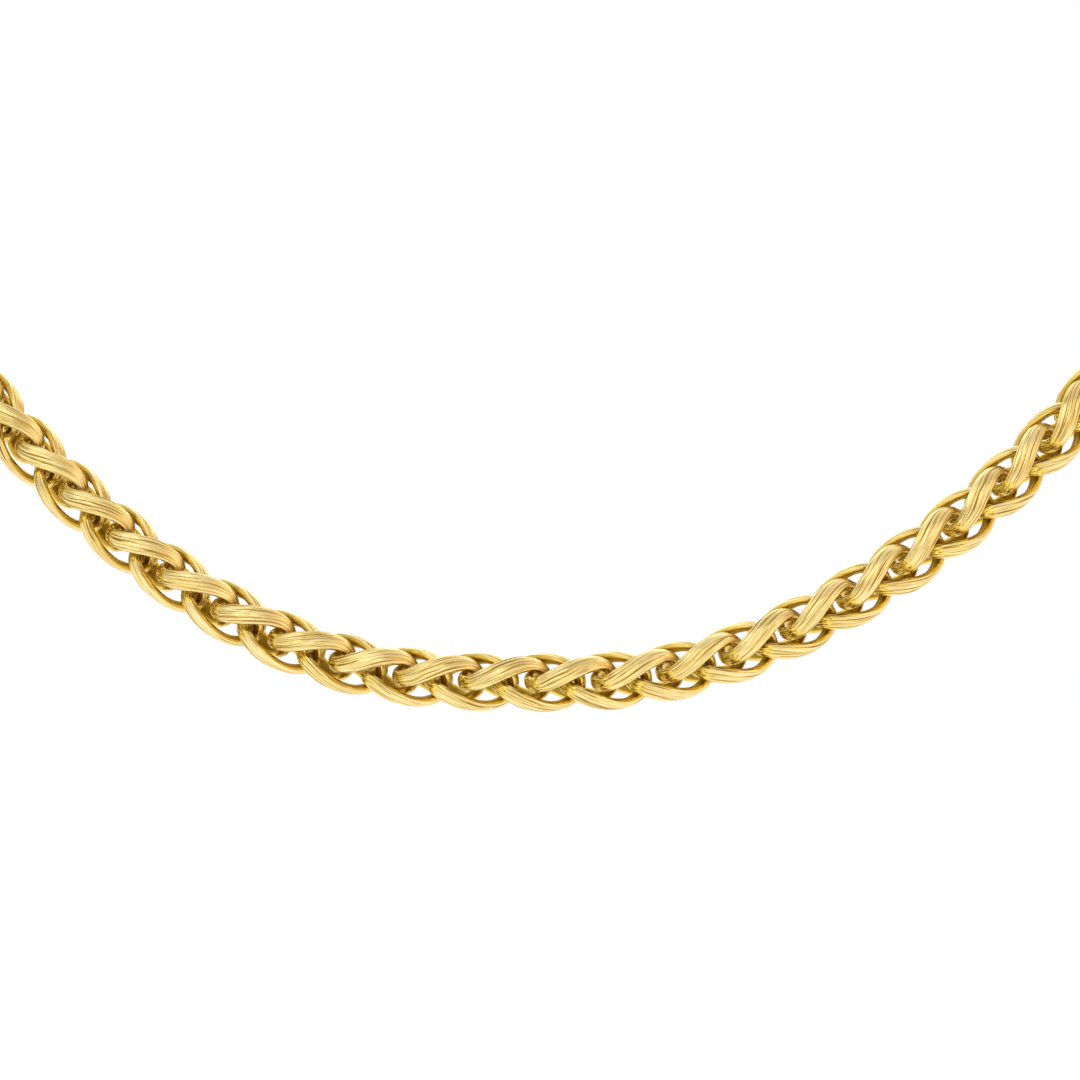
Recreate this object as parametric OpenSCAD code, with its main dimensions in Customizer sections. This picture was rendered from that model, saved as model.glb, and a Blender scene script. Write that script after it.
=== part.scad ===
// Braided chain necklace: a wheat chain of ribbed gold links, closed by a plain barrel clasp.
// The chain hangs round an upright neck. X runs across, Y towards the nape and Z up.
// The origin is the middle of the neck, level with the clasp.
// Two strands of twisted oval links lie in each other, each link held by the ends of the next
// two of its own strand: right_twist_links show on the front, left_twist_links above and below.

/* [Chain] */
// Number of links round the neck, both strands together, an odd number
link_count = 133; // [131:2:133]
// Distance between the middles of two neighbouring links of one strand
strand_pitch = 6.5; // [6.48:0.01:6.52]
// Outer diameter of the chain
chain_diameter = 5.8; // [5.75:0.05:6]

/* [Link] */
// Outer length of a link
link_length = 9.3; // [9.25:0.05:9.4]
// Width of the flattened wire at the middle of a link's two long sides
wire_width = 2; // [1.5:0.05:2.1]
// Thickness of the wire there
wire_thickness = 0.95; // [0.8:0.05:1.0]
// Width of the wire at the link's ends
end_width = 1.4; // [1.2:0.05:1.5]
// Thickness of the wire at the link's ends
end_thickness = 1.15; // [1.05:0.05:1.15]
// Angle by which each half of a link is twisted
link_twist = 44; // [42:1:46]

/* [Lay] */
// Height to which the faces of the front links look, as an angle above level
face_angle = 40; // [30:1:50]
// Turn of the chain about its own line
chain_roll = -15; // [-25:1:-5]
// Extra turn at the wearer's two sides, one way on the left and the other on the right
roll_lean = 3; // [0:0.5:5]
// Play between the two strands, by which the front links ride above the others
strand_play = 0.22; // [0.1:0.02:0.3]
// Distance by which the whole loop is slipped round the neck
loop_slip = -0.4; // [-1.2:0.1:1.2]

/* [Clasp] */
// Outer diameter of the cups that hold the chain's ends
cup_diameter = 8; // [7.9:0.05:8.4]
// Depth of a cup
cup_depth = 6.5; // [6.4:0.05:6.8]
// Diameter of the barrel between the cups
barrel_diameter = 5.6; // [4.6:0.1:6.4]
// Distance along the loop between the middles of the two end links
clasp_reach = 21; // [20.8:0.1:22]
// Diameter of the pins that hold the end links
pin_diameter = 0.95; // [0.8:0.05:1.0]

/* [Hidden] */
$fn = 48;
ring_count = 12;
route_steps = 720;
oval_steps = 240;
tiny_angle = 0.01;
// How square the ends of a link's oval are, 2 being an ellipse
oval_squareness = 2.3;
bore_wall = 0.45;
// Distance by which a cup's mouth reaches past the middle of the end link
mouth_reach = 1.6;
cup_floor = 1;
rim_depth = 1;
rim_rise = 0.35;
shoulder = 0.5;
groove_width = 0.5;
groove_depth = 0.25;
pin_seat = 0.2;

// The chain's line round the neck as a sum of waves of the angle round the neck.
// Columns: waves in one turn, sine of x, cosine of y, cosine of z, sine of z
ROUTE_WAVES = [
    [0, 0, -3, -33.6, 0],
    [1, 62.5, -56.1, -47.1, 0.5],
    [2, 0, 4.8, -11.7, 0.2],
    [3, -10.1, 5, 4.7, 0],
    [4, 0, -1.9, 2.8, 0.2],
    [6, 0, 0, 0.1, -0.3],
];

// Section of the flattened wire. Columns: half widths across, half thicknesses outwards
WIRE_SECTION = [
    [0.7, 1],
    [-0.7, 1],
    [-1, -0.1],
    [0, -1],
    [1, -0.1],
];

half_pitch = strand_pitch / 2;
loop_length = (link_count - 1) * half_pitch + clasp_reach;
oval_half_length = (link_length - end_thickness) / 2;
oval_half_width = (chain_diameter - wire_thickness) / 2;
cup_radius = cup_diameter / 2;
bore_radius = cup_radius - bore_wall;
clasp_half = clasp_reach / 2 + mouth_reach;
bore_start = clasp_half - cup_depth;
barrel_half = bore_start - cup_floor;

function unit(v) = v / norm(v);
function total(list, i = 0) = i == len(list) - 1 ? list[i] : list[i] + total(list, i + 1);
// Running distance along a list of points
function distances(points) =
    [for (i = 0, d = 0;
          i < len(points);
          d = d + (i + 1 < len(points) ? norm(points[i + 1] - points[i]) : 0), i = i + 1) d];

// Point of the route at an angle round the neck, 0 at the throat and 180 at the nape
function wave_point(a) =
    total([for (w = ROUTE_WAVES)
        [w[1] * sin(w[0] * a), w[2] * cos(w[0] * a), w[3] * cos(w[0] * a) + w[4] * sin(w[0] * a)]]);
ROUTE_ANGLES = [for (i = [0 : route_steps]) i * 360 / route_steps - 180];
ROUTE_RUN = distances([for (a = ROUTE_ANGLES) wave_point(a)]);
route_scale = loop_length / ROUTE_RUN[route_steps];
ANGLE_AT = [for (i = [0 : route_steps]) [ROUTE_RUN[i] * route_scale, ROUTE_ANGLES[i]]];
function route_angle(run) = lookup((run + loop_length) % loop_length, ANGLE_AT);
function route_point(run) = wave_point(route_angle(run)) * route_scale;

// Axes of the chain at a distance along the loop: its line, its front and its upper side
function chain_axes(run) =
    let (a = route_angle(run),
         along = unit(wave_point(a + tiny_angle) - wave_point(a - tiny_angle)),
         look = [0, -cos(face_angle), sin(face_angle)],
         front = unit(look - (along * look) * along),
         upper = cross(front, along),
         roll = chain_roll + roll_lean * sin(a))
    [along, front * cos(roll) + upper * sin(roll), upper * cos(roll) - front * sin(roll)];

// Link, in its own axes: along the chain, out of its front side and up.
// hand is 1 or -1 for the way in which it is twisted
function swell(v) = sign(v) * pow(abs(v), 2 / oval_squareness);
function wire_line(u, hand) =
    let (x = oval_half_length * swell(cos(u)),
         r = oval_half_width * swell(sin(u)),
         turn = hand * link_twist * x / oval_half_length)
    [x, r * cos(turn), r * sin(turn)];
OVAL_ANGLES = [for (i = [0 : oval_steps]) i * 360 / oval_steps];
OVAL_RUN = distances([for (u = OVAL_ANGLES) wire_line(u, 1)]);
OVAL_AT = [for (i = [0 : oval_steps]) [OVAL_RUN[i], OVAL_ANGLES[i]]];
function ring_angle(i) = lookup(i * OVAL_RUN[oval_steps] / ring_count, OVAL_AT);
// One ring of the wire's section
function wire_ring(u, hand) =
    let (centre = wire_line(u, hand),
         along = unit(wire_line(u + tiny_angle, hand) - wire_line(u - tiny_angle, hand)),
         reach = centre[0] / oval_half_length,
         turn = hand * link_twist * reach,
         side = [0, -sin(turn), cos(turn)],
         across = unit(side - (side * along) * along),
         outward = cross(along, across),
         half_w = (wire_width + (end_width - wire_width) * pow(reach, 2)) / 2,
         half_t = (wire_thickness + (end_thickness - wire_thickness) * pow(abs(reach), 3)) / 2)
    [for (p = WIRE_SECTION) centre + across * p[0] * half_w + outward * p[1] * half_t];
function link_points(hand) = [for (i = [0 : ring_count - 1]) each wire_ring(ring_angle(i), hand)];

sides = len(WIRE_SECTION);
link_size = ring_count * sides;
// Triangles of link number n in a list of links
function link_faces(n) =
    [for (i = [0 : ring_count - 1], j = [0 : sides - 1])
        let (a = n * link_size + i * sides + j,
             b = n * link_size + ((i + 1) % ring_count) * sides + j,
             c = n * link_size + ((i + 1) % ring_count) * sides + (j + 1) % sides,
             d = n * link_size + i * sides + (j + 1) % sides)
        each [[a, c, b], [a, d, c]]];

// Puts a link's points in their place on the loop. A left twisted link lies a quarter turn round
function laid(points, k, hand) =
    let (run = loop_slip + clasp_reach / 2 + k * half_pitch,
         middle = route_point(run),
         axes = chain_axes(run),
         play = hand * strand_play / 2)
    [for (p = points)
        let (out = hand == 1 ? p[1] : -p[2],
             up = (hand == 1 ? p[2] : p[1]) + play)
        middle + p[0] * axes[0] + out * axes[1] + up * axes[2]];

// All links of one strand: every second link, from the given one on
module strand(first, hand) {
    shape = link_points(hand);
    places = [for (k = [first : 2 : link_count - 1]) k];
    polyhedron(
        points = [for (k = places) each laid(shape, k, hand)],
        faces = [for (n = [0 : len(places) - 1]) each link_faces(n)]);
}

module right_twist_links() {
    color([0.87, 0.70, 0.36]) strand(1, 1);
}

module left_twist_links() {
    color([0.83, 0.66, 0.32]) strand(0, -1);
}

// Half of the clasp's outline from its middle to one mouth. Columns: along, from the axis
function clasp_outline() = [
    [0, 0],
    [0, barrel_diameter / 2 - groove_depth],
    [groove_width / 2, barrel_diameter / 2 - groove_depth],
    [groove_width / 2 + groove_depth, barrel_diameter / 2],
    [barrel_half, barrel_diameter / 2],
    [barrel_half, cup_radius - shoulder],
    [barrel_half + shoulder, cup_radius],
    [clasp_half - rim_depth, cup_radius],
    [clasp_half - rim_depth + rim_rise, cup_radius + rim_rise],
    [clasp_half - rim_rise, cup_radius + rim_rise],
    [clasp_half, cup_radius],
    [clasp_half, bore_radius],
    [bore_start, bore_radius],
    [bore_start, 0],
];

// Pins stand where the ends of the next two links of the braid would be. way is -1 or 1
// for the end of the chain, whose link ends lean one way or the other. The first pin leans
// midway between the sides of the last two links, which it passes between
module cup_pins(front_angle, way) {
    midway = (90 + link_twist * (2 - 3 * half_pitch / oval_half_length)) / 2;
    for (beyond = [1, 2]) {
        inwards = beyond * half_pitch - oval_half_length;
        lean = beyond == 1 ? midway : 90 - link_twist;
        translate([clasp_reach / 2 - inwards, 0, 0])
            rotate([front_angle + way * lean - 90, 0, 0])
            cylinder(h = 2 * (bore_radius + pin_seat), d = pin_diameter, center = true);
    }
}

// The clasp is straight, so it lies midway between the route and the line through its two ends
module barrel_clasp() {
    chain_ends = [for (end = [-1, 1]) route_point(loop_slip + end * clasp_reach / 2)];
    middle = route_point(loop_slip) / 2 + (chain_ends[0] + chain_ends[1]) / 4;
    front = chain_axes(loop_slip)[1];
    front_angle = atan2(front[2], front[1]);
    color([0.85, 0.68, 0.34])
    translate(middle)
    {
        rotate([0, 90, 0]) rotate_extrude() polygon([for (p = clasp_outline()) [p[1], p[0]]]);
        rotate([0, -90, 0]) rotate_extrude() polygon([for (p = clasp_outline()) [p[1], p[0]]]);
        cup_pins(front_angle, -1);
        mirror([1, 0, 0]) cup_pins(front_angle, 1);
    }
}

right_twist_links();
left_twist_links();
barrel_clasp();
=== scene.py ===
"""Braided chain necklace: ribbed gold links, clasp and studio round the packed model.

Each piece and the studio is made by an operator of this add-on, from sizes and colours that stand
in its property groups. Lengths are in metres, in the model's own frame: X runs across the neck,
Y towards the nape and Z up, with the origin in the middle of the neck, level with the clasp.
"""

import math

import bmesh
import bpy
import numpy as np
from bpy.props import FloatProperty, FloatVectorProperty, IntProperty, PointerProperty
from bpy.types import Operator, Panel, PropertyGroup
from mathutils import Matrix, Vector, noise
from mathutils.bvhtree import BVHTree


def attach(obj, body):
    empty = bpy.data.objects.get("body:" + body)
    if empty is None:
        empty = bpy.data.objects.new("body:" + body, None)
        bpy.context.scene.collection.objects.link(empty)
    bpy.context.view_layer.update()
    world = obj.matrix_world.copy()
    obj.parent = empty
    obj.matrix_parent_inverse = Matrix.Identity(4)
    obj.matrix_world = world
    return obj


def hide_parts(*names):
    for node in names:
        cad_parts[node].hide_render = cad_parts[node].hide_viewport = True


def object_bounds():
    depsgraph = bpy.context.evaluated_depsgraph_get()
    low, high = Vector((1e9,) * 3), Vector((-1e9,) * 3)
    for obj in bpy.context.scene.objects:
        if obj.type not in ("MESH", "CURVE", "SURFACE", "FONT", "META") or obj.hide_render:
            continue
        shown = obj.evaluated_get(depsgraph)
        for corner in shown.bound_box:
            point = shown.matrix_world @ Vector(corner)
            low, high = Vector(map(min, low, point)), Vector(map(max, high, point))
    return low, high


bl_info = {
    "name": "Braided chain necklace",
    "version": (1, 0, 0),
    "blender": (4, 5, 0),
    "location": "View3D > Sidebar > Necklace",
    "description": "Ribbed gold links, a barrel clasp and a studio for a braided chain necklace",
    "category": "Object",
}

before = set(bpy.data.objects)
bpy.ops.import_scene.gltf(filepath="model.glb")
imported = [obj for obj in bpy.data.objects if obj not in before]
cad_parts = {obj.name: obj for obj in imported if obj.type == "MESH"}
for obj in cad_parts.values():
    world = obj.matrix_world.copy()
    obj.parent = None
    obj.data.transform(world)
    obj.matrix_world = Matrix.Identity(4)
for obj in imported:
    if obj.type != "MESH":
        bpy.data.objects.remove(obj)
CAD_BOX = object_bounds()

BODY = "root"
RIGHT_NODE = "right_twist_links"
LEFT_NODE = "left_twist_links"
CLASP_NODE = "barrel_clasp"
RIGHT_HAND = 1
LEFT_HAND = -1

# The chain's line round the neck as a sum of waves of the angle round the neck.
# Columns: waves in one turn, sine of x, cosine of y, cosine of z, sine of z
ROUTE_WAVES = (
    (0, 0, -0.003, -0.0336, 0),
    (1, 0.0625, -0.0561, -0.0471, 0.0005),
    (2, 0, 0.0048, -0.0117, 0.0002),
    (3, -0.0101, 0.005, 0.0047, 0),
    (4, 0, -0.0019, 0.0028, 0.0002),
    (6, 0, 0, 0.0001, -0.0003),
)
ROUTE_STEPS = 720
SMALL_STEP = 1e-4


class ChainSizes(PropertyGroup):
    """Sizes of the chain, as in the solid model."""

    link_count: IntProperty(
        name="Links", description="Number of links in both strands together", default=133
    )
    strand_pitch: FloatProperty(
        name="Strand pitch",
        description="Distance between the middles of two neighbouring links of one strand",
        default=0.0065, unit="LENGTH", precision=5,
    )
    chain_diameter: FloatProperty(
        name="Chain diameter", description="Outer diameter of the chain",
        default=0.0058, unit="LENGTH", precision=5,
    )
    face_angle: FloatProperty(
        name="Face angle", description="Height to which the front links' faces look",
        default=math.radians(40), subtype="ANGLE",
    )
    chain_roll: FloatProperty(
        name="Chain roll", description="Turn of the chain about its own line",
        default=math.radians(-15), subtype="ANGLE",
    )
    roll_lean: FloatProperty(
        name="Roll lean", description="Extra turn at the wearer's two sides",
        default=math.radians(3), subtype="ANGLE",
    )
    strand_play: FloatProperty(
        name="Strand play", description="Play by which the front links ride above the others",
        default=0.00022, unit="LENGTH", precision=5,
    )
    loop_slip: FloatProperty(
        name="Loop slip", description="Distance by which the loop is slipped round the neck",
        default=-0.0004, unit="LENGTH", precision=5,
    )
    clasp_reach: FloatProperty(
        name="Clasp reach", description="Distance between the middles of the two end links",
        default=0.021, unit="LENGTH", precision=5,
    )


class LinkSizes(PropertyGroup):
    """Sizes of one link and of its ribbed wire."""

    length: FloatProperty(
        name="Length", description="Outer length of a link",
        default=0.0093, unit="LENGTH", precision=5,
    )
    width: FloatProperty(
        name="Wire width", description="Width of the flattened wire at a link's middle",
        default=0.002, unit="LENGTH", precision=5,
    )
    thickness: FloatProperty(
        name="Wire thickness", description="Thickness of the wire at a link's middle",
        default=0.00095, unit="LENGTH", precision=5,
    )
    end_width: FloatProperty(
        name="End width", description="Width of the wire at a link's ends",
        default=0.0014, unit="LENGTH", precision=5,
    )
    end_thickness: FloatProperty(
        name="End thickness", description="Thickness of the wire at a link's ends",
        default=0.00116, unit="LENGTH", precision=5,
    )
    twist: FloatProperty(
        name="Twist", description="Angle by which each half of a link is twisted",
        default=math.radians(44), subtype="ANGLE",
    )
    squareness: FloatProperty(
        name="Squareness", description="How square the ends of a link's oval are, 2 is an ellipse",
        default=2.3,
    )
    section_squareness: FloatProperty(
        name="Section squareness", description="How square the wire's section is", default=2.3
    )
    rings: IntProperty(name="Rings", description="Rings of the wire's section in a link", default=46)
    ribs: IntProperty(name="Ribs", description="Ribs on the wire's outer face", default=6)
    rib_depth: FloatProperty(
        name="Rib depth", description="Depth of the grooves between the ribs",
        default=0.0001, unit="LENGTH", precision=6,
    )
    rib_waver: FloatProperty(
        name="Rib waver", description="How far a rib wanders, as a share of the outer face",
        default=0.03,
    )


class ClaspSizes(PropertyGroup):
    """Sizes of the clasp, as in the solid model."""

    cup_diameter: FloatProperty(
        name="Cup diameter", description="Outer diameter of the cups at the clasp's two ends",
        default=0.008, unit="LENGTH", precision=5,
    )
    cup_depth: FloatProperty(
        name="Cup depth", description="Depth of a cup",
        default=0.0065, unit="LENGTH", precision=5,
    )
    cup_wall: FloatProperty(
        name="Cup wall", description="Thickness of a cup's wall",
        default=0.00045, unit="LENGTH", precision=5,
    )
    cup_floor: FloatProperty(
        name="Cup floor", description="Thickness of a cup's floor",
        default=0.001, unit="LENGTH", precision=5,
    )
    mouth_reach: FloatProperty(
        name="Mouth reach", description="From the middle of the end link to the cup's mouth",
        default=0.0016, unit="LENGTH", precision=5,
    )
    rim_depth: FloatProperty(
        name="Rim depth", description="Depth of the rim round a cup's mouth",
        default=0.001, unit="LENGTH", precision=5,
    )
    rim_rise: FloatProperty(
        name="Rim rise", description="Height and slope of that rim",
        default=0.00035, unit="LENGTH", precision=5,
    )
    shoulder: FloatProperty(
        name="Shoulder", description="Slope at the bottom of a cup",
        default=0.0005, unit="LENGTH", precision=5,
    )
    barrel_diameter: FloatProperty(
        name="Barrel diameter", description="Outer diameter of the barrel between the cups",
        default=0.0056, unit="LENGTH", precision=5,
    )
    groove_width: FloatProperty(
        name="Groove width", description="Width of the groove round the barrel's middle",
        default=0.0005, unit="LENGTH", precision=5,
    )
    groove_depth: FloatProperty(
        name="Groove depth", description="Depth and slope of that groove",
        default=0.00025, unit="LENGTH", precision=5,
    )
    pin_diameter: FloatProperty(
        name="Pin diameter", description="Diameter of the pins that hold the end links",
        default=0.00095, unit="LENGTH", precision=5,
    )
    pin_seat: FloatProperty(
        name="Pin seat", description="How far a pin reaches into the cup's wall",
        default=0.0002, unit="LENGTH", precision=5,
    )
    edge_round: FloatProperty(
        name="Edge round", description="Rounding of the turned edges",
        default=0.00009, unit="LENGTH", precision=5,
    )


class GoldColours(PropertyGroup):
    """Colours of the gold, some of them painted shade and painted light."""

    # Crest: the ribbed face's gold, made paler as a painted highlight on the tops of the ribs
    crest: FloatVectorProperty(
        name="Crest", description="Satin gold on the crests of the ribs",
        default=(0.90, 0.76, 0.36), subtype="COLOR", min=0, max=1,
    )
    # Painted highlight in bright streaks beside the hairlines
    painted_glint: FloatVectorProperty(
        name="Gleam", description="Bright streaks between the hairlines",
        default=(1.0, 0.92, 0.62), subtype="COLOR", min=0, max=1,
    )
    # Flank: the warmer mid-tone of the painted shading across each rib
    flank: FloatVectorProperty(
        name="Flank", description="Warmer gold on the flanks of the ribs",
        default=(0.91, 0.61, 0.17), subtype="COLOR", min=0, max=1,
    )
    # Painted warm reflection at the right ends of the links, standing in for the warm light they catch
    tip: FloatVectorProperty(
        name="Tip", description="Warm gold at the right ends of the links",
        default=(1.0, 0.75, 0.33), subtype="COLOR", min=0, max=1,
    )
    # Painted shade in the grooves between the ribs, and in the hairlines and creases
    groove: FloatVectorProperty(
        name="Groove", description="Gold in the grooves between the ribs",
        default=(0.34, 0.19, 0.02), subtype="COLOR", min=0, max=1,
    )
    # Darker than the crest's gold: painted shade along the polished edges, for the dark rims their
    # reflections give
    polished: FloatVectorProperty(
        name="Polished", description="Polished gold on the edges of the wire",
        default=(0.80, 0.60, 0.16), subtype="COLOR", min=0, max=1,
    )
    # Painted shade deep between the links, where a point sees little of its surroundings
    recess_shade: FloatVectorProperty(
        name="Recess", description="Dull gold deep between the links",
        default=(0.38, 0.26, 0.03), subtype="COLOR", min=0, max=1,
    )
    # Seam: the soldered seam's crackled gold, brighter yellow as painted light for the light it
    # catches
    seam: FloatVectorProperty(
        name="Seam", description="Gold round the soldered seam of a link",
        default=(1.0, 0.78, 0.16), subtype="COLOR", min=0, max=1,
    )
    # Painted shade on the inner faces of the links, which turn into the chain
    inside: FloatVectorProperty(
        name="Inside", description="Gold on the inner faces of the links",
        default=(0.73, 0.52, 0.09), subtype="COLOR", min=0, max=1,
    )
    clasp: FloatVectorProperty(
        name="Clasp", description="Turned gold of the clasp",
        default=(0.87, 0.65, 0.27), subtype="COLOR", min=0, max=1,
    )
    clasp_dull: FloatVectorProperty(
        name="Clasp dull", description="Duller clouds on the clasp",
        default=(0.74, 0.50, 0.17), subtype="COLOR", min=0, max=1,
    )


class StudioSettings(PropertyGroup):
    """Camera, lights and floor."""

    view_distance: FloatProperty(
        name="View distance", description="From the lens to the front of the chain",
        default=1.15, unit="LENGTH",
    )
    view_width: FloatProperty(
        name="View width", description="Width of the picture at the front of the chain",
        default=0.1054, unit="LENGTH", precision=4,
    )
    view_across: FloatProperty(
        name="View across", description="Place of the picture's middle along X",
        default=-0.00018, unit="LENGTH", precision=5,
    )
    view_height: FloatProperty(
        name="View height", description="Place of the picture's middle along Z",
        default=-0.07094, unit="LENGTH", precision=5,
    )
    floor_drop: FloatProperty(
        name="Floor drop", description="Gap between the necklace's lowest point and the floor",
        default=0.09, unit="LENGTH",
    )
    backdrop: FloatVectorProperty(
        name="Backdrop", description="Colour of the backdrop",
        default=(1.0, 1.0, 1.0), subtype="COLOR", min=0, max=1,
    )
    glow_below: FloatProperty(
        name="Glow below", description="Brightness of the soft light from below", default=0.45
    )
    glow_level: FloatVectorProperty(
        name="Glow level", description="Colour of the soft light at eye level",
        default=(0.84, 0.72, 0.43), subtype="COLOR", min=0, max=1,
    )
    glow_above: FloatProperty(
        name="Glow above", description="Brightness of the soft light from above", default=0.72
    )
    glow_rim: FloatProperty(
        name="Glow rim", description="Brightness of the soft light from above and behind",
        default=1.0,
    )
    flag: FloatProperty(
        name="Flag", description="How much of the soft light from behind is held off", default=0.85
    )
    flag_colour: FloatVectorProperty(
        name="Flag colour", description="What shows of the light from behind instead",
        default=(0.5, 0.38, 0.12), subtype="COLOR", min=0, max=1,
    )
    left_tint: FloatVectorProperty(
        name="Left tint", description="Tint of the soft light from the left",
        default=(1.0, 1.0, 0.96), subtype="COLOR", min=0, max=2,
    )
    right_tint: FloatVectorProperty(
        name="Right tint", description="Tint of the soft light from the right",
        default=(1.14, 0.94, 0.68), subtype="COLOR", min=0, max=2,
    )
    floor_glow: FloatProperty(
        name="Floor glow", description="How much the floor shines by itself", default=0.05
    )
    key_power: FloatProperty(
        name="Key light", description="Power of the large soft light overhead",
        default=2.2, unit="POWER",
    )
    fill_power: FloatProperty(
        name="Fill light", description="Power of the soft light beside the camera",
        default=1.0, unit="POWER",
    )
    back_power: FloatProperty(
        name="Back light", description="Power of the light on the floor far behind the necklace",
        default=110, unit="POWER",
    )


def wave_points(angles):
    """Points of the chain's line, unscaled, at angles round the neck: 0 throat, pi nape."""
    points = np.zeros((len(angles), 3))
    for waves, sine_x, cosine_y, cosine_z, sine_z in ROUTE_WAVES:
        sine = np.sin(waves * angles)
        cosine = np.cos(waves * angles)
        points += np.stack([sine_x * sine, cosine_y * cosine, cosine_z * cosine + sine_z * sine], 1)
    return points


def running_length(points):
    """Distance along a line of points, starting from 0."""
    steps = np.linalg.norm(np.diff(points, axis=0), axis=1)
    return np.concatenate([[0.0], np.cumsum(steps)])


def unit(vectors):
    """Each row of an array of vectors at length 1."""
    return vectors / np.linalg.norm(vectors, axis=-1, keepdims=True)


class Route:
    """The chain's line round the neck, and its axes at any place along it."""

    def __init__(self, sizes):
        self.sizes = sizes
        self.half_pitch = sizes.strand_pitch / 2
        self.length = (sizes.link_count - 1) * self.half_pitch + sizes.clasp_reach
        self.angles = np.linspace(-math.pi, math.pi, ROUTE_STEPS + 1)
        run = running_length(wave_points(self.angles))
        self.scale = self.length / run[-1]
        self.run = run * self.scale

    def angle(self, run):
        """Angles round the neck at distances along the loop from the nape."""
        return np.interp(np.mod(run, self.length), self.run, self.angles)

    def points(self, run):
        """Points at distances along the loop."""
        return wave_points(self.angle(run)) * self.scale

    def axes(self, run):
        """Directions along the chain, out of its front side and out of its upper side."""
        angle = self.angle(run)
        along = unit(wave_points(angle + SMALL_STEP) - wave_points(angle - SMALL_STEP))
        look = np.array([0, -math.cos(self.sizes.face_angle), math.sin(self.sizes.face_angle)])
        front = unit(look - (along @ look)[:, None] * along)
        upper = np.cross(front, along)
        roll = (self.sizes.chain_roll + self.sizes.roll_lean * np.sin(angle))[:, None]
        return (
            along,
            front * np.cos(roll) + upper * np.sin(roll),
            upper * np.cos(roll) - front * np.sin(roll),
        )


def swell(values, squareness):
    """A sine or cosine made squarer, as along an oval with square ends."""
    return np.sign(values) * np.abs(values) ** (2 / squareness)


def wire_line(angles, link, half_length, half_width, hand):
    """Middle line of a twisted link, and the turn of its plane, at angles round its oval."""
    along = half_length * swell(np.cos(angles), link.squareness)
    reach = half_width * swell(np.sin(angles), link.squareness)
    turn = hand * link.twist * along / half_length
    return np.stack([along, reach * np.cos(turn), reach * np.sin(turn)], -1), turn


FINE_STEPS = 1440
STEPS_PER_RIB = 4
INNER_STEPS = 8
HOOP_RADIUS = 1.0
SECTION_RADIUS = 0.25
PLACE_DIGITS = 6


def make_hoop(link):
    """A round hoop of the wire, spun from a ring, with a map along and round the wire."""
    sides = link.ribs * STEPS_PER_RIB + INNER_STEPS
    hoop = bmesh.new()
    stand_up = Matrix.Translation((HOOP_RADIUS, 0, 0)) @ Matrix.Rotation(math.pi / 2, 4, "X")
    bmesh.ops.create_circle(hoop, segments=sides, radius=SECTION_RADIUS, matrix=stand_up)
    bmesh.ops.spin(
        hoop, geom=hoop.verts[:] + hoop.edges[:], cent=(0, 0, 0), axis=(0, 0, 1),
        angle=2 * math.pi, steps=link.rings, use_merge=True,
    )
    bmesh.ops.recalc_face_normals(hoop, faces=hoop.faces)
    mesh = bpy.data.meshes.new("hoop")
    hoop.to_mesh(mesh)
    hoop.free()
    return mesh


def hoop_places(mesh):
    """Place of each point of the hoop, from 0 to 1 along the wire and round its section."""
    points = np.empty(len(mesh.vertices) * 3)
    mesh.vertices.foreach_get("co", points)
    points = points.reshape(-1, 3)
    along = np.arctan2(points[:, 1], points[:, 0]) / (2 * math.pi)
    out = np.hypot(points[:, 0], points[:, 1]) - HOOP_RADIUS
    around = np.arctan2(points[:, 2], out) / (2 * math.pi)
    return [np.round(np.mod(place, 1), PLACE_DIGITS) % 1 for place in (along, around)]


NOISE_ROUGHNESS = 0.65


class Tree:
    """The node tree of a material or world, to which recipes add their nodes."""

    def __init__(self, owner, shader):
        owner.use_nodes = True
        self.owner = owner
        self.nodes = owner.node_tree.nodes
        self.links = owner.node_tree.links
        self.shader = self.nodes[shader]

    def put(self, socket, value):
        """Links a field to a socket, or sets the socket's own value."""
        if isinstance(value, Field):
            self.links.new(value.socket, socket)
        else:
            socket.default_value = value

    def add(self, kind, settings=None, values=None, output=0):
        """Adds a node: its type, its settings, what goes into its sockets, and what it gives."""
        node = self.nodes.new(kind)
        for name, value in (settings or {}).items():
            if name == "stops":
                ramp = node.color_ramp.elements
                while len(ramp) < len(value):
                    ramp.new(1)
                for element, (position, colour) in zip(ramp, value):
                    element.position = position
                    element.color = colour
            else:
                setattr(node, name, value)
        for name, value in (values or {}).items():
            self.put(node.inputs[name], value)
        return Field(self, node.outputs[output])

    def grain(self, place, along, across, detail):
        """Noise over a flat map, stretched by its scales along and across."""
        stretched = self.add("ShaderNodeMapping", {}, {"Vector": place, "Scale": (along, across, 1.0)})
        return self.add(
            "ShaderNodeTexNoise", {"noise_dimensions": "2D"},
            {
                "Vector": stretched, "Scale": 1.0,
                "Detail": detail, "Roughness": NOISE_ROUGHNESS,
            },
        )

    def mix(self, share, first, second, way="MIX"):
        """A colour between two others, or another blend of them."""
        return self.add(
            "ShaderNodeMix", {"data_type": "RGBA", "blend_type": way},
            {0: share, 6: first, 7: second}, output=2,
        )

    def shade(self, **values):
        """Feeds sockets of the shader, named with underscores for spaces."""
        for name, value in values.items():
            self.put(self.shader.inputs[name.replace("_", " ")], value)


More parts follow.
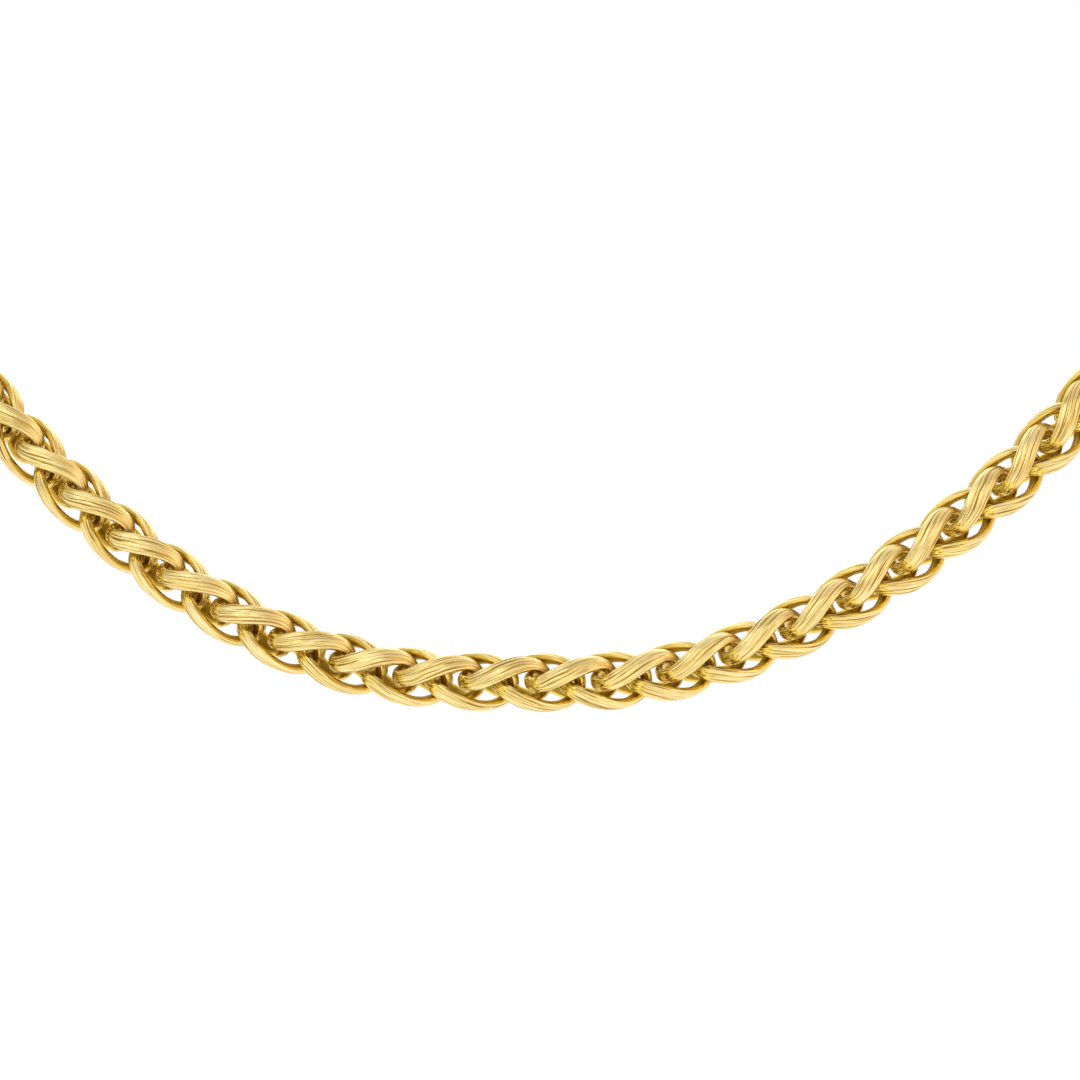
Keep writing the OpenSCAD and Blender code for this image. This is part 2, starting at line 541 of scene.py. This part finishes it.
class Field:
    """An output socket that takes part in Python arithmetic."""

    def __init__(self, tree, socket):
        self.tree = tree
        self.socket = socket

    def maths(self, operation, *values):
        """A Math node of numbers and fields, in the order given."""
        return self.tree.add("ShaderNodeMath", {"operation": operation}, dict(enumerate(values)))

    def __add__(self, other):
        return self.maths("ADD", self, other)

    __radd__ = __add__

    def __sub__(self, other):
        return self.maths("SUBTRACT", self, other)

    def __rsub__(self, other):
        return self.maths("SUBTRACT", other, self)

    def __mul__(self, other):
        return self.maths("MULTIPLY", self, other)

    __rmul__ = __mul__

    def __abs__(self):
        return self.maths("ABSOLUTE", self)

    def within(self, low, high):
        """0 where this is at low, 1 where it is at high, and smooth between."""
        return self.tree.add(
            "ShaderNodeMapRange", {"interpolation_type": "SMOOTHSTEP"},
            {"Value": self, "From Min": low, "From Max": high},
        )


def rgba(colour):
    """A colour property as a socket takes it."""
    return (*colour, 1.0)


def new_material(name):
    """The tree of a new material."""
    return Tree(bpy.data.materials.new(name), "Principled BSDF")


# Grain of the wire's finish. Columns: scale along the wire, scale round it, detail
HAIR_GRAIN = (3.5, 24, 2)
PATCH_GRAIN = (14, 5, 2)
CREASE_GRAIN = (38, 15, 1)

# Where each finish and each painted shade or light begins and where it is whole: by the way that the
# wire faces, by the distance along the link from its middle, and by how much of its surroundings a
# point sees
OUTER_FACE = (-0.05, 0.35)
INNER_FACE = (0.1, 0.7)
SEAM_ZONE = (0.76, 0.94)
TIP_ZONE = (-0.1, 0.7)
OPEN_SIGHT = (0.0, 0.6)
SEAM_LEAN = 0.12

# Levels of the grain between which hairlines and creases end and the painted highlight streaks begin
HAIR_LEVELS = (0.37, 0.42)
PAINTED_GLINT_LEVELS = (0.54, 0.64)
CREASE_LEVELS = (0.38, 0.46)

# How strongly each finish, painted shade, painted highlight and painted warm reflection shows
HAIR_DEPTH = 1.1
HAIR_LOSS_AT_TIP = 0.3
PAINTED_GLINT_SHARE = 0.4
TIP_REFLECTION_SHARE = 0.35
SEAM_SHARE = 0.9
RECESS_SHADE_SHARE = 0.08
RECESS_SHADE_SHARE_INSIDE = 0.55

# Heights on a rib at which the gold has the groove's, the flank's and the crest's colour: this paints
# shade into the grooves and a paler highlight on the crests
RIB_LEVELS = (0.3, 0.62, 1.0)

# Roughness of the polished edges, and what each finish adds to it
EDGE_ROUGHNESS = 0.18
SATIN_ROUGHNESS = 0.04
PATCH_ROUGHNESS = 0.08
HAIR_ROUGHNESS = 0.1
INNER_ROUGHNESS = 0.2

# Relief of the outer face: its depth, and how much of it hairlines and patches have
RELIEF_DEPTH = 0.0001
HAIR_RELIEF = 0.6
PATCH_RELIEF = 0.2


def ribbed_gold(colours):
    """Satin gold on the ribbed outer face, crackled at the seams, with polished edges. Painted shade
    darkens its grooves, edges, inner faces and the depths between the links; painted highlight and
    warm reflection brighten its crests, streaks, tips and seams.
    """
    gold = new_material("satin_ribbed_gold")
    wire = gold.add("ShaderNodeUVMap", {"uv_map": "wire"})
    facing = gold.add("ShaderNodeAttribute", {"attribute_name": "facing"}, output="Fac")
    rib = gold.add("ShaderNodeAttribute", {"attribute_name": "rib"}, output="Fac")
    seen = gold.add("ShaderNodeAttribute", {"attribute_name": "open"}, output="Fac")
    reach = gold.add("ShaderNodeAttribute", {"attribute_name": "reach"}, output="Fac")
    outer = facing.within(*OUTER_FACE)
    inner = (facing * -1).within(*INNER_FACE)
    seam = (abs(reach) - reach * SEAM_LEAN).within(*SEAM_ZONE)
    tip = reach.within(*TIP_ZONE)
    hairs = gold.grain(wire, *HAIR_GRAIN)
    patches = gold.grain(wire, *PATCH_GRAIN)
    creases = gold.grain(wire, *CREASE_GRAIN)
    hair = (1 - hairs.within(*HAIR_LEVELS)) * (1 - tip * HAIR_LOSS_AT_TIP)
    painted_glint = hairs.within(*PAINTED_GLINT_LEVELS)
    crease = (1 - creases.within(*CREASE_LEVELS)) * seam

    # The rib's height, less hairlines and creases, picks the colour: painted shade in the grooves,
    # hairlines and creases, a paler painted highlight on the crests
    rib_colours = (rgba(colours.groove), rgba(colours.flank), rgba(colours.crest))
    satin_and_painted_light = gold.add(
        "ShaderNodeValToRGB",
        {"stops": list(zip(RIB_LEVELS, rib_colours))},
        {"Fac": rib - hair * HAIR_DEPTH - crease},
    )
    # Painted highlight: bright streaks where the hairline grain is high
    satin_and_painted_light = gold.mix(painted_glint * PAINTED_GLINT_SHARE, satin_and_painted_light, rgba(colours.painted_glint))
    # Painted warm reflection towards the right ends of the links
    satin_and_painted_light = gold.mix(tip * TIP_REFLECTION_SHARE, satin_and_painted_light, rgba(colours.tip))
    # Round the seam, between the crackles: brighter yellow, painted light for the light that the seam
    # catches
    satin_and_painted_light = gold.mix(seam * (1 - crease) * SEAM_SHARE, satin_and_painted_light, rgba(colours.seam))
    # Edges take a darker gold: painted shade along them
    colour = gold.mix(outer, rgba(colours.polished), satin_and_painted_light)
    # Inner faces take painted shade
    colour = gold.mix(inner, colour, rgba(colours.inside))
    # Painted shade where a point sees little of its surroundings, stronger on the inner faces
    recess_shade = 1 - seen.within(*OPEN_SIGHT)
    recess_shade = recess_shade * (inner * RECESS_SHADE_SHARE_INSIDE + RECESS_SHADE_SHARE)
    colour = gold.mix(recess_shade, colour, rgba(colours.recess_shade))

    satin_rough = SATIN_ROUGHNESS + patches * PATCH_ROUGHNESS + hair * HAIR_ROUGHNESS
    rough = EDGE_ROUGHNESS + outer * satin_rough + inner * INNER_ROUGHNESS
    height = (hairs * HAIR_RELIEF + patches * PATCH_RELIEF + creases * seam) * outer
    bump = gold.add(
        "ShaderNodeBump", {}, {"Height": height, "Strength": 1.0, "Distance": RELIEF_DEPTH}
    )
    gold.shade(Base_Color=colour, Roughness=rough, Normal=bump, Metallic=1.0)
    return gold.owner


# Finish of the clasp: turning lines, whose scale is given along X, Y and Z, and duller clouds
CLASP_ROUGHNESS = 0.16
TURNING_SCALE = (9000.0, 250.0, 250.0)
TURNING_DETAIL = 2.0
TURNING_ROUGHNESS = 0.12
TURNING_STRENGTH = 0.2
TURNING_DEPTH = 0.00002
CLOUD_SCALE = 260.0
CLOUD_DETAIL = 3.0
CLOUD_LEVELS = (0.35, 0.7)


def plain_gold(colours):
    """Softly polished gold with faint turning lines and duller clouds."""
    gold = new_material("polished_plain_gold")
    place = gold.add("ShaderNodeTexCoord", output="Object")
    lines = gold.add("ShaderNodeMapping", {}, {"Vector": place, "Scale": TURNING_SCALE})
    turning = gold.add(
        "ShaderNodeTexNoise", {}, {"Vector": lines, "Scale": 1.0, "Detail": TURNING_DETAIL}
    )
    clouds = gold.add(
        "ShaderNodeTexNoise", {}, {"Vector": place, "Scale": CLOUD_SCALE, "Detail": CLOUD_DETAIL}
    )
    cloud = clouds.within(*CLOUD_LEVELS)
    colour = gold.mix(cloud, rgba(colours.clasp_dull), rgba(colours.clasp))
    rough = CLASP_ROUGHNESS + turning * TURNING_ROUGHNESS
    bump = gold.add(
        "ShaderNodeBump", {},
        {"Height": turning, "Strength": TURNING_STRENGTH, "Distance": TURNING_DEPTH},
    )
    gold.shade(Base_Color=colour, Roughness=rough, Normal=bump, Metallic=1.0)
    return gold.owner


def shared_material(name, make):
    """A material made once and then used again."""
    return bpy.data.materials.get(name) or make(bpy.context.scene.gold_colours)


def section_places(link):
    """Places round the wire's section: along its outer face in even steps, then its inner one."""
    fine = np.linspace(0, 2 * math.pi, FINE_STEPS + 1)
    across = swell(np.cos(fine), link.section_squareness) * link.width / 2
    out = swell(np.sin(fine), link.section_squareness) * link.thickness / 2
    run = running_length(np.stack([across, out], 1))
    half = run[FINE_STEPS // 2]
    outer = np.linspace(0, half, link.ribs * STEPS_PER_RIB + 1)[:-1]
    inner = np.linspace(half, run[-1], INNER_STEPS + 1)[:-1]
    return np.interp(np.concatenate([outer, inner]), run, fine)


# Noise over the wire. Columns: scale across the outer face, scale along the wire
WANDER_NOISE = (3, 0.3)
STRENGTH_NOISE = (9, 0.13)
LINK_SPACING_IN_NOISE = 3.7

# Depth of a rib's groove as a share of the full depth: its mean, how far it varies, its limits
MEAN_STRENGTH = 0.5
STRENGTH_SPREAD = 1.7
STRENGTH_LIMITS = (0.1, 1.4)

# Powers of a sine: how fast the ribs rise from the outer face's edges, and how full a rib is
EDGE_RISE = 0.4
RIB_FULLNESS = 0.6


class Link:
    """One twisted link: a hoop of wire bent to its form and laid in its place on the loop."""

    def __init__(self, number):
        scene = bpy.context.scene
        self.sizes = scene.chain_sizes
        self.link = scene.link_sizes
        self.number = number
        self.hand = RIGHT_HAND if number % 2 else LEFT_HAND
        self.half_length = (self.link.length - self.link.end_thickness) / 2
        self.half_width = (self.sizes.chain_diameter - self.link.thickness) / 2

    def line(self, angles):
        """Middle line of the wire and the turn of its plane, at angles round the oval."""
        return wire_line(angles, self.link, self.half_length, self.half_width, self.hand)

    def ring_angles(self):
        """Angles of the oval at which the rings stand, in even steps along the wire."""
        fine = np.linspace(0, 2 * math.pi, FINE_STEPS + 1)
        run = running_length(self.line(fine)[0])
        return np.interp(np.linspace(0, run[-1], self.link.rings + 1)[:-1], run, fine)

    def frames(self, oval):
        """Middle of each ring with the directions across the wire and outwards."""
        middle, turn = self.line(oval)
        along = unit(self.line(oval + SMALL_STEP)[0] - self.line(oval - SMALL_STEP)[0])
        plane = np.stack([np.zeros_like(turn), -np.sin(turn), np.cos(turn)], -1)
        across = unit(plane - np.sum(plane * along, -1, keepdims=True) * along)
        return middle, across, np.cross(along, across)

    def noise(self, scales, share, ring):
        """Smooth noise from -1 to 1 over the wire, other in each link."""
        across, along = scales
        depth = self.number * LINK_SPACING_IN_NOISE
        places = zip(share * across, ring * along)
        return np.array([noise.noise(Vector((*place, depth))) for place in places])

    def bend(self, ring, side):
        """Points of the link in its own axes, and what the material reads at each of them."""
        link = self.link
        middle, across, outward = self.frames(self.ring_angles()[ring])
        reach = middle[:, 0] / self.half_length
        half_w = (link.width + (link.end_width - link.width) * reach**2) / 2
        half_t = (link.thickness + (link.end_thickness - link.thickness) * np.abs(reach) ** 3) / 2
        outer_steps = link.ribs * STEPS_PER_RIB
        on_face = side < outer_steps
        share = np.where(on_face, side / outer_steps, 0)
        phase = np.where(on_face, side % STEPS_PER_RIB, 0) / STEPS_PER_RIB
        fade = np.sin(math.pi * share) ** EDGE_RISE * on_face
        wander = self.noise(WANDER_NOISE, share, ring) * link.rib_waver * math.pi * fade
        around = section_places(link)[side] + wander
        wide = swell(np.cos(around), link.section_squareness)
        high = swell(np.sin(around), link.section_squareness)
        crest = np.where(on_face, np.sin(math.pi * phase) ** RIB_FULLNESS, 1)
        strength = MEAN_STRENGTH + STRENGTH_SPREAD * self.noise(STRENGTH_NOISE, share, ring)
        strength = np.clip(strength, *STRENGTH_LIMITS)
        groove = link.rib_depth * (1 - crest) * fade * strength
        points = (
            middle
            + across * (wide * half_w)[:, None]
            + outward * (high * half_t - groove)[:, None]
        )
        rib = 1 - (1 - crest) * fade * np.clip(strength, 0, 1)
        return points, {"rib": rib, "facing": high, "reach": reach}

    def lay(self, points, route):
        """Puts the link's points in their place on the loop."""
        start = self.sizes.loop_slip + self.sizes.clasp_reach / 2
        run = np.array([start + self.number * route.half_pitch])
        along, front, upper = (axis[0] for axis in route.axes(run))
        out, up = points[:, 1], points[:, 2]
        if self.hand == LEFT_HAND:
            out, up = -up, out
        up = up + self.hand * self.sizes.strand_play / 2
        return (
            route.points(run)[0]
            + np.outer(points[:, 0], along)
            + np.outer(out, front)
            + np.outer(up, upper)
        )


def spread_directions(count):
    """Directions spread evenly over a sphere."""
    turns = np.arange(count) * math.pi * (3 - math.sqrt(5))
    height = 1 - (2 * np.arange(count) + 1) / count
    level = np.sqrt(1 - height**2)
    return [Vector(way) for way in zip(level * np.cos(turns), level * np.sin(turns), height)]


# What a point of a link sees, which sets the painted shade deep between the links: rays go from just
# above it, and meet its nearest neighbours
SKY_RAYS = 96
SKY = spread_directions(SKY_RAYS)
NEIGHBOURS = 4
RAY_LIFT = 0.00002
RAY_REACH = 0.008

LINK_SPACING_ON_MAP = 2.0
FACE_CORNERS = 4


class Strand:
    """One strand of the braid: every second link from the first, made as one mesh."""

    def __init__(self, first):
        self.sizes = bpy.context.scene.chain_sizes
        self.link = bpy.context.scene.link_sizes
        self.route = Route(self.sizes)
        self.numbers = range(first, self.sizes.link_count, 2)
        self.sides = self.link.ribs * STEPS_PER_RIB + INNER_STEPS
        self.hoop = make_hoop(self.link)
        along, around = hoop_places(self.hoop)
        self.ring = np.round(along * self.link.rings).astype(int) % self.link.rings
        self.side = np.round(around * self.sides).astype(int) % self.sides

    def place(self, number):
        """Points of a link on the loop, and what the material reads at each of them."""
        link = Link(number)
        points, marks = link.bend(self.ring, self.side)
        return link.lay(points, self.route), marks

    def openness(self):
        """How much of its surroundings each point of a link sees among its neighbours."""
        number = self.numbers[len(self.numbers) // 2]
        quads = np.array([face.vertices for face in self.hoop.polygons])
        reach = range(number - NEIGHBOURS, number + NEIGHBOURS + 1)
        places = [self.place(other)[0] for other in reach]
        count = len(places[0])
        faces = np.concatenate([quads + i * count for i in range(len(places))])
        around = BVHTree.FromPolygons(np.concatenate(places).tolist(), faces.tolist())
        middle = self.hoop.copy()
        middle.vertices.foreach_set("co", places[NEIGHBOURS].ravel())
        middle.update()
        seen = []
        for vertex in middle.vertices:
            start = vertex.co + vertex.normal * RAY_LIFT
            open_sky = 0
            whole_sky = 0
            for way in SKY:
                lean = way.dot(vertex.normal)
                if lean > 0:
                    whole_sky += lean
                    if around.ray_cast(start, way, RAY_REACH)[0] is None:
                        open_sky += lean
            seen.append(open_sky / whole_sky)
        bpy.data.meshes.remove(middle)
        return np.array(seen)

    def make(self, name):
        """The whole strand as one mesh with its map and its attributes."""
        strand = bmesh.new()
        for _ in self.numbers:
            strand.from_mesh(self.hoop)
        mesh = bpy.data.meshes.new(name)
        strand.to_mesh(mesh)
        strand.free()
        places, marks = zip(*(self.place(number) for number in self.numbers))
        mesh.vertices.foreach_set("co", np.concatenate(places).ravel())
        values = {mark: np.concatenate([link[mark] for link in marks]) for mark in marks[0]}
        values["open"] = np.tile(self.openness(), len(self.numbers))
        for attribute, value in values.items():
            layer = mesh.attributes.new(attribute, "FLOAT", "POINT")
            layer.data.foreach_set("value", value)
        self.map_wire(mesh)
        mesh.update()
        mesh.shade_smooth()
        bpy.data.meshes.remove(self.hoop)
        return mesh

    def map_wire(self, mesh):
        """Gives the mesh a map: along it the links and their wire, across it the wire's girth."""
        corners = np.empty(len(mesh.loops), dtype=np.int32)
        mesh.loops.foreach_get("vertex_index", corners)
        link_number, within = np.divmod(corners, len(self.ring))
        ring = self.ring[within].reshape(-1, FACE_CORNERS)
        side = self.side[within].reshape(-1, FACE_CORNERS)
        ring = np.where((np.ptp(ring, axis=1) > 1)[:, None] & (ring == 0), self.link.rings, ring)
        side = np.where((np.ptp(side, axis=1) > 1)[:, None] & (side == 0), self.sides, side)
        along = ring.ravel() / self.link.rings + LINK_SPACING_ON_MAP * link_number
        layer = mesh.uv_layers.new(name="wire")
        layer.data.foreach_set("uv", np.stack([along, side.ravel() / self.sides], 1).ravel())


def add_object(name, mesh, material, node):
    """Links a finished piece, which rides on the body and stands for a node."""
    piece = bpy.data.objects.new(name, mesh)
    bpy.context.scene.collection.objects.link(piece)
    mesh.materials.append(material)
    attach(piece, BODY)
    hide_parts(node)


def add_strand(first, name, node):
    """Makes a strand from its first link's number, with its material and node."""
    material = shared_material("satin_ribbed_gold", ribbed_gold)
    add_object(name, Strand(first).make(name), material, node)


class NECKLACE_OT_right_strand(Operator):
    """Makes the links whose bars show on the front of the chain"""

    bl_idname = "necklace.right_strand"
    bl_label = "Make right twisted links"

    def execute(self, context):
        add_strand(1, "right_twist_strand", RIGHT_NODE)
        return {"FINISHED"}


class NECKLACE_OT_left_strand(Operator):
    """Makes the links that show above and below the front ones"""

    bl_idname = "necklace.left_strand"
    bl_label = "Make left twisted links"

    def execute(self, context):
        add_strand(0, "left_twist_strand", LEFT_NODE)
        return {"FINISHED"}


TURNED_STEPS = 96
PIN_STEPS = 24
EDGE_STEPS = 3
SHARP_ANGLE = math.radians(20)


class Clasp:
    """The barrel clasp, turned about X, with pins across the cups at its two ends."""

    def __init__(self):
        scene = bpy.context.scene
        self.clasp = scene.clasp_sizes
        self.sizes = scene.chain_sizes
        self.link = scene.link_sizes
        self.half = self.sizes.clasp_reach / 2 + self.clasp.mouth_reach
        self.cup = self.clasp.cup_diameter / 2
        self.bore = self.cup - self.clasp.cup_wall

    def outline(self):
        """Half of the turned outline, from the middle to a cup: along the axis and out from it."""
        clasp = self.clasp
        barrel = clasp.barrel_diameter / 2
        bore_start = self.half - clasp.cup_depth
        barrel_half = bore_start - clasp.cup_floor
        return [
            (clasp.groove_width / 2, barrel - clasp.groove_depth),
            (clasp.groove_width / 2 + clasp.groove_depth, barrel),
            (barrel_half, barrel),
            (barrel_half, self.cup - clasp.shoulder),
            (barrel_half + clasp.shoulder, self.cup),
            (self.half - clasp.rim_depth, self.cup),
            (self.half - clasp.rim_depth + clasp.rim_rise, self.cup + clasp.rim_rise),
            (self.half - clasp.rim_rise, self.cup + clasp.rim_rise),
            (self.half, self.cup),
            (self.half, self.bore),
            (bore_start, self.bore),
        ]

    def turn(self, mesh):
        """Spins the outline, closes the floors of the cups and rounds the edges."""
        half = self.outline()
        corners = [(-along, out) for along, out in reversed(half)] + half
        points = [mesh.verts.new((along, out, 0)) for along, out in corners]
        lines = [mesh.edges.new(pair) for pair in zip(points, points[1:])]
        bmesh.ops.spin(
            mesh, geom=points + lines, cent=(0, 0, 0), axis=(1, 0, 0),
            angle=2 * math.pi, steps=TURNED_STEPS, use_merge=True,
        )
        bmesh.ops.holes_fill(mesh, edges=[edge for edge in mesh.edges if edge.is_boundary])
        bmesh.ops.recalc_face_normals(mesh, faces=mesh.faces)
        bmesh.ops.bevel(
            mesh, geom=[edge for edge in mesh.edges if edge.calc_face_angle() > SHARP_ANGLE],
            offset=self.clasp.edge_round, segments=EDGE_STEPS, affect="EDGES", profile=0.5,
            material=-1,
        )

    def add_pin(self, mesh, along, lean):
        """A pin across a cup, leaning from upright about the clasp's line."""
        bmesh.ops.create_cone(
            mesh, cap_ends=True, segments=PIN_STEPS, radius1=self.clasp.pin_diameter / 2,
            radius2=self.clasp.pin_diameter / 2, depth=2 * (self.bore + self.clasp.pin_seat),
            matrix=Matrix.Translation((along, 0, 0)) @ Matrix.Rotation(lean, 4, "X"),
        )

    def add_pins(self, mesh, front_angle):
        """Pins where the ends of the next two links of the braid would be, at each end."""
        half_pitch = self.sizes.strand_pitch / 2
        half_length = (self.link.length - self.link.end_thickness) / 2
        twist = self.link.twist
        leans = (
            (math.pi / 2 + twist * (2 - 3 * half_pitch / half_length)) / 2,
            math.pi / 2 - twist,
        )
        for end in (-1, 1):
            for beyond, lean in enumerate(leans, 1):
                along = self.sizes.clasp_reach / 2 + half_length - beyond * half_pitch
                self.add_pin(mesh, end * along, front_angle - end * lean - math.pi / 2)

    def make(self, name):
        """The clasp as one mesh at its place on the loop."""
        route = Route(self.sizes)
        slip = self.sizes.loop_slip
        reach = self.sizes.clasp_reach / 2
        nape, left, right = route.points(np.array([slip, slip - reach, slip + reach]))
        front = route.axes(np.array([slip]))[1][0]
        turned = bmesh.new()
        self.turn(turned)
        self.add_pins(turned, math.atan2(front[2], front[1]))
        bmesh.ops.translate(turned, vec=nape / 2 + (left + right) / 4, verts=turned.verts)
        mesh = bpy.data.meshes.new(name)
        turned.to_mesh(mesh)
        turned.free()
        mesh.shade_smooth()
        return mesh


class NECKLACE_OT_clasp(Operator):
    """Makes the barrel clasp at the nape"""

    bl_idname = "necklace.clasp"
    bl_label = "Make the clasp"

    def execute(self, context):
        mesh = Clasp().make("turned_clasp")
        material = shared_material("polished_plain_gold", plain_gold)
        add_object("turned_clasp", mesh, material, CLASP_NODE)
        return {"FINISHED"}


# The sensor is in millimetres, as Blender has it
SENSOR_WIDTH = 36
VIEW_LIMIT = 50
FLOOR_RADIUS = 6
FLOOR_STEPS = 96
MATT_ROUGHNESS = 0.9

KEY_SIZE = (0.9, 0.7)
KEY_PLACE = (-0.45, -0.7, 0.75)
FILL_SIZE = (0.5, 0.8)
FILL_PLACE = (0.9, -0.6, 0.3)
BACK_SIZE = (5.0, 5.0)
BACK_PLACE = (0, 3.6, 1.4)

# Where the parts of the soft light begin and where they are whole, by how far a direction goes
# to the right, to the back and up
RIM_DEPTH = (0.0, 0.5)
RIM_HEIGHT = (0.35, 0.65)
FLAG_DEPTH = (0.45, 0.95)
FLAG_TOP = (0.1, 0.5)
WARM_SIDE = (-0.2, 0.6)
WARM_LEAN = 0.2

# Where the light from above is whole, from 0 straight down to 1 straight up
FULL_HEIGHT = 0.72


def soft_light(name, power, size, place, target):
    """An area light that looks at a target."""
    light = bpy.data.lights.new(name, "AREA")
    light.energy = power
    light.shape = "RECTANGLE"
    light.size, light.size_y = size
    lamp = bpy.data.objects.new(name, light)
    lamp.location = place
    lamp.rotation_euler = (Vector(target) - Vector(place)).to_track_quat("-Z", "Y").to_euler()
    bpy.context.scene.collection.objects.link(lamp)


def backdrop_material(studio):
    """Plain matt white, lit from within as a light table is."""
    matt = new_material("backdrop_white")
    white = rgba(studio.backdrop)
    matt.shade(
        Base_Color=white, Roughness=MATT_ROUGHNESS,
        Emission_Color=white, Emission_Strength=studio.floor_glow,
    )
    return matt.owner


def grey(value):
    """A neutral colour of a given brightness."""
    return (value, value, value, 1.0)


def studio_world(studio):
    """Plain white to look at, and soft light: brightest above and behind, warmer on the right."""
    world = bpy.data.worlds.new("studio")
    bpy.context.scene.world = world
    sky = Tree(world, "Background")
    place = sky.add("ShaderNodeTexCoord", output="Generated")
    across, depth, height = (
        sky.add("ShaderNodeSeparateXYZ", {}, {"Vector": place}, output=axis) for axis in "XYZ"
    )
    seen = sky.add("ShaderNodeLightPath", output="Is Camera Ray")
    stops = [
        (0.0, grey(studio.glow_below)),
        (0.5, rgba(studio.glow_level)),
        (FULL_HEIGHT, grey(studio.glow_above)),
        (1.0, grey(studio.glow_above)),
    ]
    shade = sky.add("ShaderNodeValToRGB", {"stops": stops}, {"Fac": height * 0.5 + 0.5})
    rim = depth.within(*RIM_DEPTH) * height.within(*RIM_HEIGHT)
    shade = sky.mix(rim, shade, grey(studio.glow_rim))
    behind = depth.within(*FLAG_DEPTH) * (1 - height.within(*FLAG_TOP))
    shade = sky.mix(behind * studio.flag, shade, rgba(studio.flag_colour))
    warm = (across - height * WARM_LEAN).within(*WARM_SIDE)
    tint = sky.mix(warm, rgba(studio.left_tint), rgba(studio.right_tint))
    shade = sky.mix(1.0, shade, tint, way="MULTIPLY")
    sky.shade(Color=sky.mix(seen, shade, grey(1.0)))


def add_camera(studio, front_y):
    """The camera, level and square to the front of the chain."""
    camera = bpy.data.cameras.new("camera")
    camera.sensor_width = SENSOR_WIDTH
    camera.lens = camera.sensor_width * studio.view_distance / studio.view_width
    camera.clip_end = VIEW_LIMIT
    stand = bpy.data.objects.new("camera", camera)
    stand.location = (studio.view_across, front_y - studio.view_distance, studio.view_height)
    stand.rotation_euler = (math.pi / 2, 0, 0)
    bpy.context.scene.collection.objects.link(stand)
    bpy.context.scene.camera = stand


def add_floor(studio, floor_z):
    """A round floor below the necklace."""
    floor = bmesh.new()
    bmesh.ops.create_circle(
        floor, cap_ends=True, segments=FLOOR_STEPS, radius=FLOOR_RADIUS,
        matrix=Matrix.Translation((0, 0, floor_z)),
    )
    mesh = bpy.data.meshes.new("floor")
    floor.to_mesh(mesh)
    floor.free()
    mesh.materials.append(backdrop_material(studio))
    disc = bpy.data.objects.new("floor", mesh)
    bpy.context.scene.collection.objects.link(disc)


class NECKLACE_OT_studio(Operator):
    """Sets up the floor, the soft light and the camera"""

    bl_idname = "necklace.studio"
    bl_label = "Set up the studio"

    def execute(self, context):
        studio = context.scene.studio_settings
        route = Route(context.scene.chain_sizes)
        front_y = route.points(np.array([route.length / 2]))[0][1]
        floor_z = CAD_BOX[0][2] - studio.floor_drop
        add_camera(studio, front_y)
        add_floor(studio, floor_z)
        studio_world(studio)
        chain = (0, front_y, studio.view_height)
        soft_light("key", studio.key_power, KEY_SIZE, KEY_PLACE, chain)
        soft_light("fill", studio.fill_power, FILL_SIZE, FILL_PLACE, chain)
        soft_light("back", studio.back_power, BACK_SIZE, BACK_PLACE, (*BACK_PLACE[:2], floor_z))
        context.scene.view_settings.view_transform = "Standard"
        return {"FINISHED"}


class VIEW3D_PT_necklace(Panel):
    """Lists the necklace's pieces and their sizes"""

    bl_label = "Braided chain necklace"
    bl_idname = "VIEW3D_PT_necklace"
    bl_space_type = "VIEW_3D"
    bl_region_type = "UI"
    bl_category = "Necklace"

    def draw(self, context):
        for step in OPERATORS:
            self.layout.operator(step.bl_idname)
        for name, group in SETTINGS.items():
            box = self.layout.box()
            box.label(text=group.__doc__)
            for size in group.__annotations__:
                box.prop(getattr(context.scene, name), size)


OPERATORS = (
    NECKLACE_OT_studio,
    NECKLACE_OT_right_strand,
    NECKLACE_OT_left_strand,
    NECKLACE_OT_clasp,
)
SETTINGS = {
    "chain_sizes": ChainSizes,
    "link_sizes": LinkSizes,
    "clasp_sizes": ClaspSizes,
    "gold_colours": GoldColours,
    "studio_settings": StudioSettings,
}
CLASSES = (*SETTINGS.values(), *OPERATORS, VIEW3D_PT_necklace)


def register():
    """Registers the classes and hangs the settings on the scene."""
    for cls in CLASSES:
        bpy.utils.register_class(cls)
    for name, group in SETTINGS.items():
        setattr(bpy.types.Scene, name, PointerProperty(type=group))


def unregister():
    """Takes the settings and the classes away again."""
    for name in SETTINGS:
        delattr(bpy.types.Scene, name)
    for cls in reversed(CLASSES):
        bpy.utils.unregister_class(cls)


def main():
    """Makes the studio and the necklace."""
    register()
    bpy.ops.necklace.studio()
    bpy.ops.necklace.right_strand()
    bpy.ops.necklace.left_strand()
    bpy.ops.necklace.clasp()


if __name__ == "__main__":
    main()
